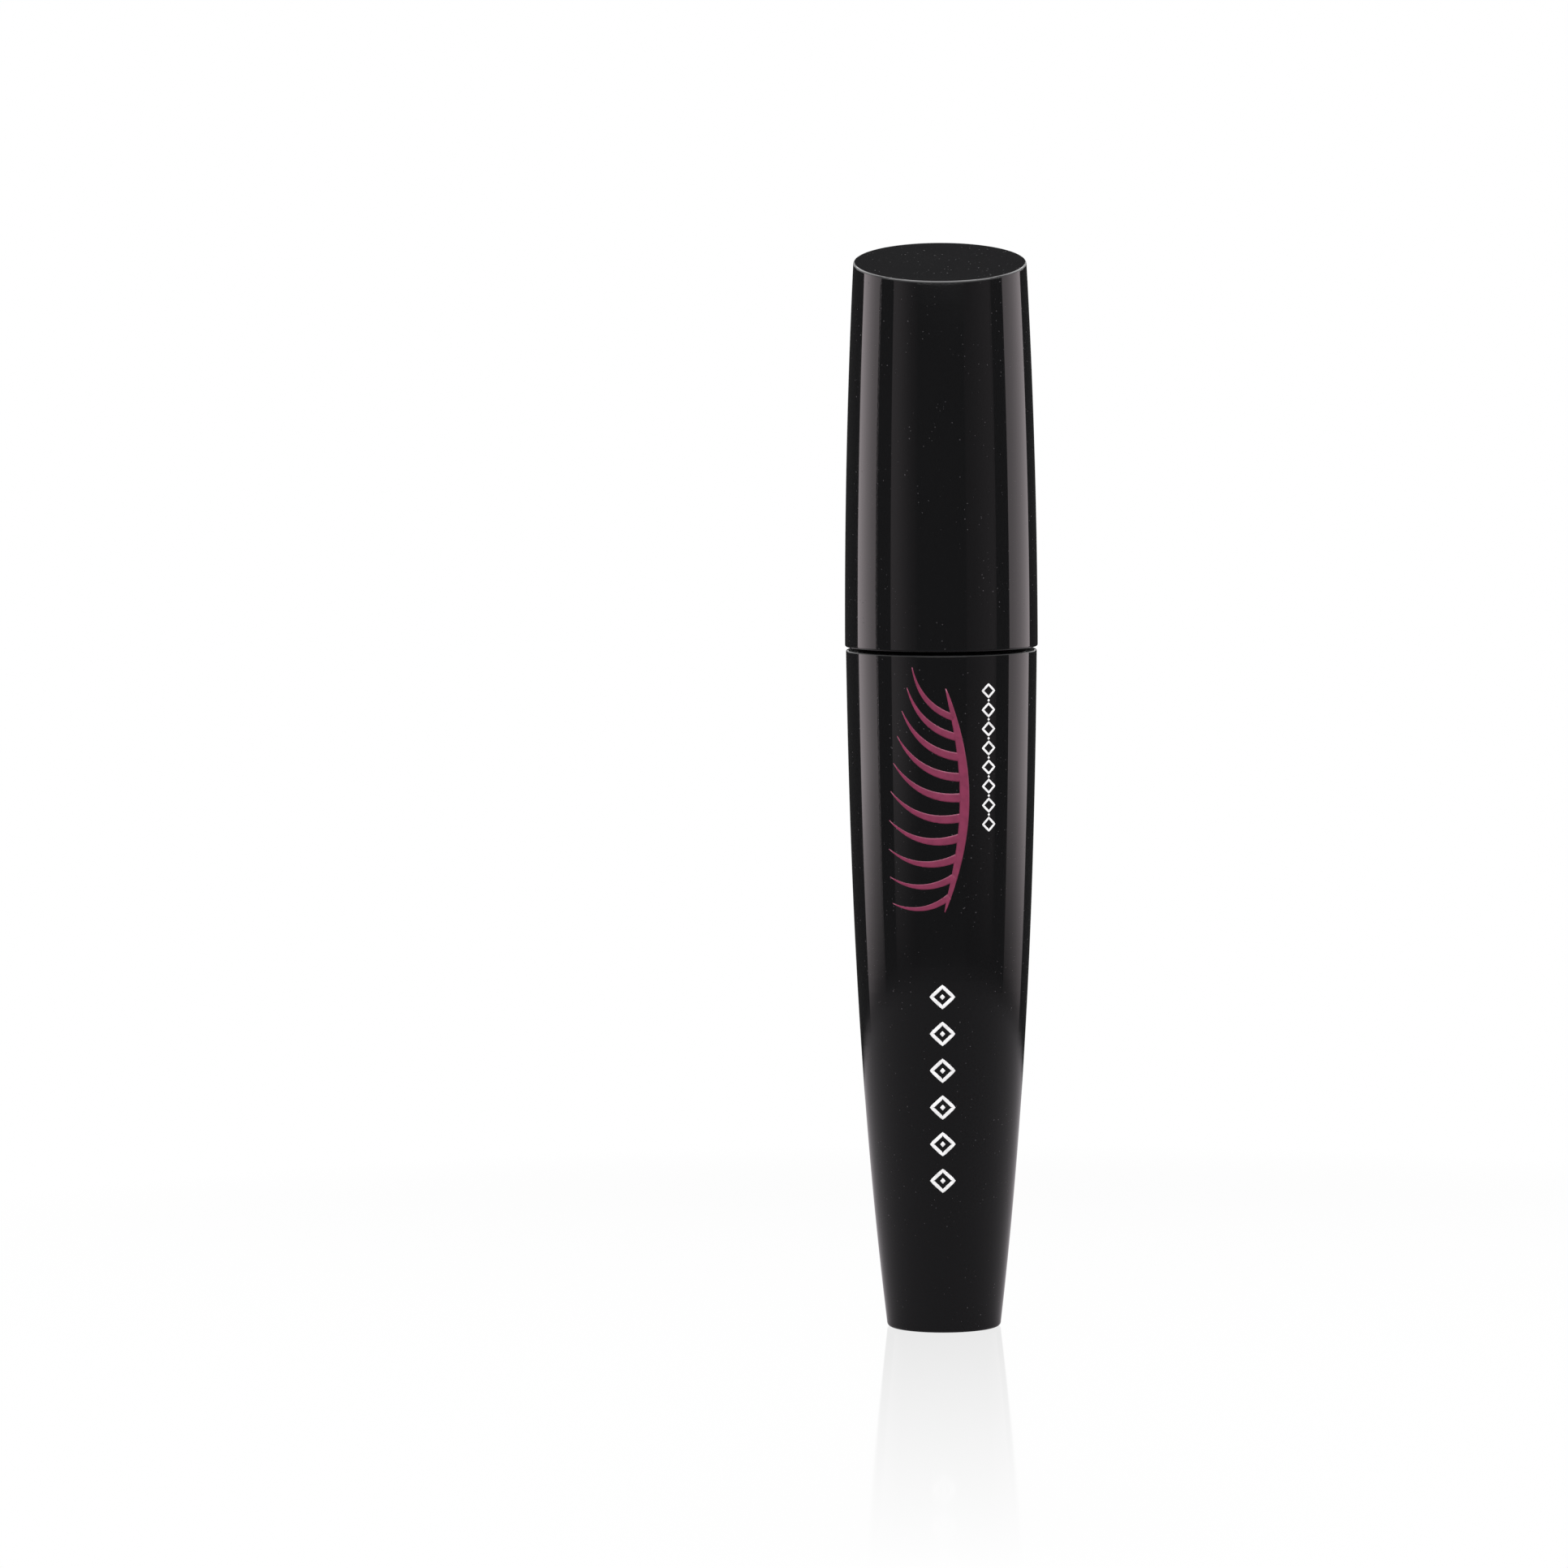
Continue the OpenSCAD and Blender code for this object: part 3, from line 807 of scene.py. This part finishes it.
def trim(z):
    # Filament length from the axis at height z: rounded top, swell, waist, swell, then the nose
    down = (ROD_TIP_Z - z) / MM - FIRST_PEAK_MM
    if down < 0:
        cut = TOP_CUT_MM * (down / FIRST_PEAK_MM) ** 2
    elif down < PEAK_SPACING_MM:
        cut = WAIST_CUT_MM * (1 - math.cos(2 * math.pi * down / PEAK_SPACING_MM))
    else:
        past = (down - PEAK_SPACING_MM) / (BRUSH_MM - FIRST_PEAK_MM - PEAK_SPACING_MM)
        cut = NOSE_CUT_MM * past**1.25
    return BRUSH_R - cut * MM


def nylon():
    # Nylon 6.12 monofilament, extruded and drawn: black, softly shining along its length
    made, tree = material("nylon_drawn_filament")
    at = coordinates(tree)
    wax = add(tree, "TexNoise", {"Vector": at, "Scale": 1 / (1.1 * MM), "Detail": 3.0}).outputs["Fac"]
    shade = add(tree, "Mix", {"Factor": wax, "A": to_linear("#151412"), "B": to_linear("#2c2926")},
                data_type="RGBA").outputs["Result"]
    rough = ramp(tree, wax, 0.3, 0.7, 0.28, 0.5)
    surface(tree, add(tree, "BsdfPrincipled", {"Base Color": shade, "Roughness": rough, "IOR": 1.53}))
    return made


def filament(share, chance):
    # One filament, tip to tip through the wire, at its share of the way up the brush
    z = BRUSH_END_Z + 0.5 * MM + (BRUSH_TOP_Z - BRUSH_END_Z - 0.5 * MM) * share
    turn = -2 * math.pi * (z - FOLD_Z) / WIRE_LEAD + math.pi / 2 + chance.gauss(0, 0.2)
    ends = []
    for side in (0, math.pi):
        way = turn + side
        # Tufts hold together, except on the side that was last wiped, where filaments cross each other
        wiped = 0.5 - 0.5 * math.cos(way)
        pull = (0.75 - 0.45 * wiped) * (round(way / TUFT_ANGLE) * TUFT_ANGLE - way)
        tip_way = way + pull + chance.gauss(0, 0.03 + 0.06 * wiped)
        tip_rise = -WIRE_LEAD * pull / (2 * math.pi) + chance.gauss(0, 0.09 + 0.2 * wiped) * MM
        reach = trim(z) * chance.uniform(0.92, 0.995)
        points = []
        for k in range(1, 6):
            f = k / 5
            a = way + (tip_way - way) * f**1.5
            out, up = reach * f, z + tip_rise * f * f
            points.append((out * math.cos(a), out * math.sin(a), up, 1.1 - 0.3 * f))
        ends.append(points)
    return ends[1][::-1] + [(0, 0, z, 1.1)] + ends[0]


chance = random.Random(7)
filaments = [filament((k + 0.5) / FILAMENTS, chance) for k in range(FILAMENTS)]
finished("bristle_filaments", tubes("bristle_filaments", filaments, FILAMENT_R, 0), "wand", nylon(),
         ["bristles"])

# %% [markdown]
# ## The bottle, its thread and the wiper
# With the cap off, the neck shows. The bottle is spun like the sleeve, with a rounded mouth and a small
# fillet at the foot of the neck. Its thread is a rounded ridge spun with a climb at every step, and its
# height fades away at both ends, as a moulded thread does. The wiper is a soft rim with a cone below it
# that strips the rod.

# %% Materials of the bottle and the wiper


def polypropylene():
    # Polypropylene moulded in a plain tool: satin black with faint flow marks round it
    made, tree = material("polypropylene_moulded_black")
    at = coordinates(tree)
    flow = add(tree, "Mapping", {"Vector": at, "Scale": (0.25, 0.25, 1)}).outputs[0]
    marks = add(tree, "TexNoise", {"Vector": flow, "Scale": 1 / (0.8 * MM), "Detail": 3.0}).outputs["Fac"]
    rough = ramp(tree, marks, 0.3, 0.7, 0.26, 0.4)
    bump = add(tree, "Bump", {"Height": marks, "Strength": 0.2, "Distance": 0.01 * MM})
    surface(tree, add(tree, "BsdfPrincipled", {"Base Color": to_linear("#161617"), "Roughness": rough,
                                               "IOR": 1.49, "Normal": bump.outputs["Normal"]}))
    return made


def polyethylene():
    # Low-density polyethylene, moulded without pigment: milky, waxy and slightly see-through
    made, tree = material("polyethylene_moulded_natural")
    at = coordinates(tree)
    cloud = add(tree, "TexNoise", {"Vector": at, "Scale": 1 / (2.2 * MM), "Detail": 4.0}).outputs["Fac"]
    shade = add(tree, "Mix", {"Factor": cloud, "A": to_linear("#bcbab2"), "B": to_linear("#cfcdc6")},
                data_type="RGBA").outputs["Result"]
    bump = add(tree, "Bump", {"Height": cloud, "Strength": 0.15, "Distance": 0.03 * MM})
    surface(tree, add(tree, "BsdfPrincipled", {"Base Color": shade, "Roughness": 0.42, "IOR": 1.51,
                                               "Subsurface Weight": 0.35,
                                               "Subsurface Radius": (1.2 * MM, 1.1 * MM, 1.0 * MM),
                                               "Normal": bump.outputs["Normal"]}))
    return made


# %% [markdown]
# Both sections run down the outside and back up the bore, so each spin gives a closed wall of real
# thickness. The thread is spun into the bottle's mesh after the wall, and its two cut ends are filled.

# %% Bottle and wiper
NECK_R = 6.3 * MM
NECK_BORE_R = 5.1 * MM
NECK_TOP_Z = high_z("inner_bottle")
WIPER_TOP_Z = high_z("wiper")
FLANGE_R = 9.8 * MM
SLEEVE_GAP = 0.12 * MM
BOTTLE_WALL = 0.95 * MM
BOTTLE_FOOT_Z = 1.6 * MM
NECK_FILLET = 0.35 * MM
SOFT_EDGE = 0.2 * MM
THREAD_CREST_R = 7.0 * MM
THREAD_LEAD = 3 * MM
THREAD_START_Z = SHOULDER_Z + 4.5 * MM
THREAD_TURNS = 1.75
THREAD_FADE = 35
WIPE_R = 2.78 * MM
WIPER_MOUTH_R = 4.45 * MM


def bottle_section():
    gap = SLEEVE_WALL + SLEEVE_GAP
    wall = gap + BOTTLE_WALL
    foot_z = BOTTLE_FOOT_Z
    ledge_z = SHOULDER_Z - STEP_DEPTH
    outer = [foot_z + 0.5 * MM + (ledge_z - foot_z - 0.5 * MM) * k / 24 for k in range(25)]
    inner = [ledge_z - 3 * MM + (foot_z + 4.7 * MM - ledge_z) * k / 24 for k in range(25)]
    fillet = arc((NECK_R + NECK_FILLET, SHOULDER_Z + NECK_FILLET), NECK_FILLET, 270, 180, 5)
    mouth = arc((NECK_R - SOFT_EDGE, NECK_TOP_Z - SOFT_EDGE), SOFT_EDGE, 0, 90, 4)
    return ([(0, foot_z), (taper(foot_z) - gap - 0.5 * MM, foot_z)] + [(taper(z) - gap, z) for z in outer]
            + [(FLANGE_R, ledge_z), (FLANGE_R, SHOULDER_Z)] + fillet + mouth
            + [(NECK_BORE_R, NECK_TOP_Z), (NECK_BORE_R, ledge_z)] + [(taper(z) - wall, z) for z in inner]
            + [(taper(foot_z) - wall - 0.7 * MM, foot_z + 1.1 * MM), (0, foot_z + 1.0 * MM)])


def thread_height(share):
    # 1 along the thread, falling smoothly to almost nothing over the last THREAD_FADE degrees at either end
    near_end = min(share, 1 - share) * THREAD_TURNS * 360 / THREAD_FADE
    t = min(1, near_end)
    return 0.06 + 0.94 * t * t * (3 - 2 * t)


def add_thread(bm):
    # Spins a ridge with a climb, then lowers each of its points by how near it is to an end
    rise = THREAD_CREST_R - NECK_R
    below = [(NECK_R - 0.08 * MM, -0.64 * MM), (NECK_R + 0.7 * rise, -0.4 * MM), (THREAD_CREST_R, -0.2 * MM)]
    outline = below + [(r, -z) for r, z in reversed(below)]
    steps = round(THREAD_TURNS * 96)
    ring = [bm.verts.new((r, 0, THREAD_START_Z + z)) for r, z in outline]
    edges = [bm.edges.new(pair) for pair in zip(ring, ring[1:] + ring[:1])]
    before = set(bm.verts) - set(ring)
    bmesh.ops.spin(bm, geom=ring + edges, cent=(0, 0, 0), axis=AXIS, angle=2 * math.pi * THREAD_TURNS,
                   dvec=(0, 0, THREAD_LEAD * THREAD_TURNS / steps), steps=steps, use_duplicate=False)
    bmesh.ops.holes_fill(bm, edges=[e for e in bm.edges if e.is_boundary], sides=0)
    for vertex in set(bm.verts) - before:
        turned = math.atan2(vertex.co.y, vertex.co.x) / (2 * math.pi) % 1
        climbed = (vertex.co.z - THREAD_START_Z) / THREAD_LEAD
        share = (turned + round(climbed - turned)) / THREAD_TURNS
        radius = vertex.co.xy.length
        shrunk = NECK_R + (radius - NECK_R) * thread_height(share) if radius > NECK_R else radius
        vertex.co.xy *= shrunk / radius
    bmesh.ops.recalc_face_normals(bm, faces=bm.faces)


def wiper_section():
    lip_r = NECK_R - 0.2 * MM
    skirt_r = NECK_BORE_R - 0.05 * MM
    outside = arc((lip_r - SOFT_EDGE, WIPER_TOP_Z - SOFT_EDGE), SOFT_EDGE, 0, 90, 4)
    inside = arc((WIPER_MOUTH_R + SOFT_EDGE, WIPER_TOP_Z - SOFT_EDGE), SOFT_EDGE, 90, 180, 4)
    return ([(skirt_r, NECK_TOP_Z), (lip_r, NECK_TOP_Z)] + outside + inside
            + [(WIPER_MOUTH_R, NECK_TOP_Z - 6.8 * MM), (WIPER_MOUTH_R - 0.15 * MM, NECK_TOP_Z - 7.2 * MM),
               (WIPE_R + 0.1 * MM, NECK_TOP_Z - 10.3 * MM), (WIPE_R, NECK_TOP_Z - 10.6 * MM),
               (WIPE_R, NECK_TOP_Z - 11 * MM), (WIPE_R + 0.5 * MM, NECK_TOP_Z - 11 * MM),
               (skirt_r, NECK_TOP_Z - 7.4 * MM)])


PP = polypropylene()
bm = spun(bottle_section(), steps=192)
add_thread(bm)
finished("bottle_and_neck", bm, "bottle", PP, ["inner_bottle"])
finished("wiper_insert", spun(wiper_section(), steps=128), "bottle", polyethylene(), ["wiper"])

# %% [markdown]
# ## The core and the washer
# The cap's threaded core and the washer keep their CAD shapes, which are right already, and get their
# materials: black polypropylene like the bottle's, and a die-cut sheet of foamed polyethylene.

# %% Core and washer


def foam_sheet():
    # Expanded polyethylene sheet, die cut: matt and pitted with cells about 0.25 mm wide. Its colour is
    # painted darker in the low grooves between the cells, as shade
    made, tree = material("foamed_polyethylene_die_cut")
    at = coordinates(tree)
    cells = add(tree, "TexVoronoi", {"Vector": at, "Scale": 1 / (0.25 * MM)}, feature="DISTANCE_TO_EDGE")
    cell_height_and_groove_shade = ramp(tree, cells.outputs["Distance"], 0.0, 0.18)
    # Painted shade: the mask that lowers the grooves between cells also darkens the colour there
    shade = add(tree, "Mix", {"Factor": cell_height_and_groove_shade, "A": to_linear("#a5a39d"), "B": to_linear("#c4c2bc")},
                data_type="RGBA").outputs["Result"]
    bump = add(tree, "Bump", {"Height": cell_height_and_groove_shade, "Strength": 0.5, "Distance": 0.05 * MM})
    surface(tree, add(tree, "BsdfPrincipled", {"Base Color": shade, "Roughness": 0.75, "IOR": 1.5,
                                               "Normal": bump.outputs["Normal"]}))
    return made


def repaint(node, finish):
    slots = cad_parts[node].data.materials
    slots.clear()
    slots.append(finish)
    print(f"{node}: {finish.name}")


repaint("inner_cap", PP)
repaint("seal_ring", foam_sheet())
